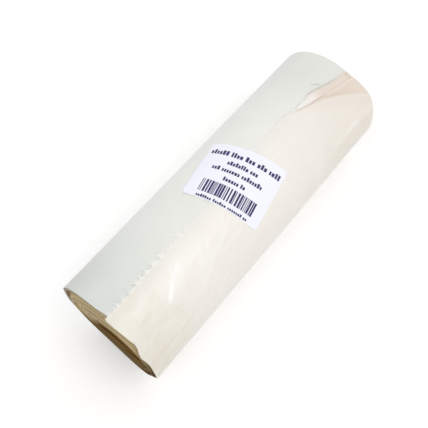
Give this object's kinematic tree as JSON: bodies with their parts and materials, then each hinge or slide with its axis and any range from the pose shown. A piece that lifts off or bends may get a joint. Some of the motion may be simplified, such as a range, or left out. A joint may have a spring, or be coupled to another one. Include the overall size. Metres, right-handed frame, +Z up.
{
  "type": "bin bag roll",
  "caption": "Coreless roll of translucent plastic bin bags, perforated free edge on top, held by a slightly turned paper label.",
  "frame": {"origin": "bottom centre of the roll's box, on the small flat spot it rests on", "axes": "+X along the roll, +Z up, -Y the side towards which the outer turn's free edge is pulled open"},
  "size_m": [0.19, 0.0659, 0.0653],
  "materials": {
    "film": "satin, slightly translucent polyethylene film",
    "label_paper": "smooth coated paper",
    "label_ink": "dark blue printing ink"
  },
  "bodies": {
    "root": {"bag_roll": "film", "label": "label_paper", "label_print": "label_ink"}
  },
  "joints": []
}
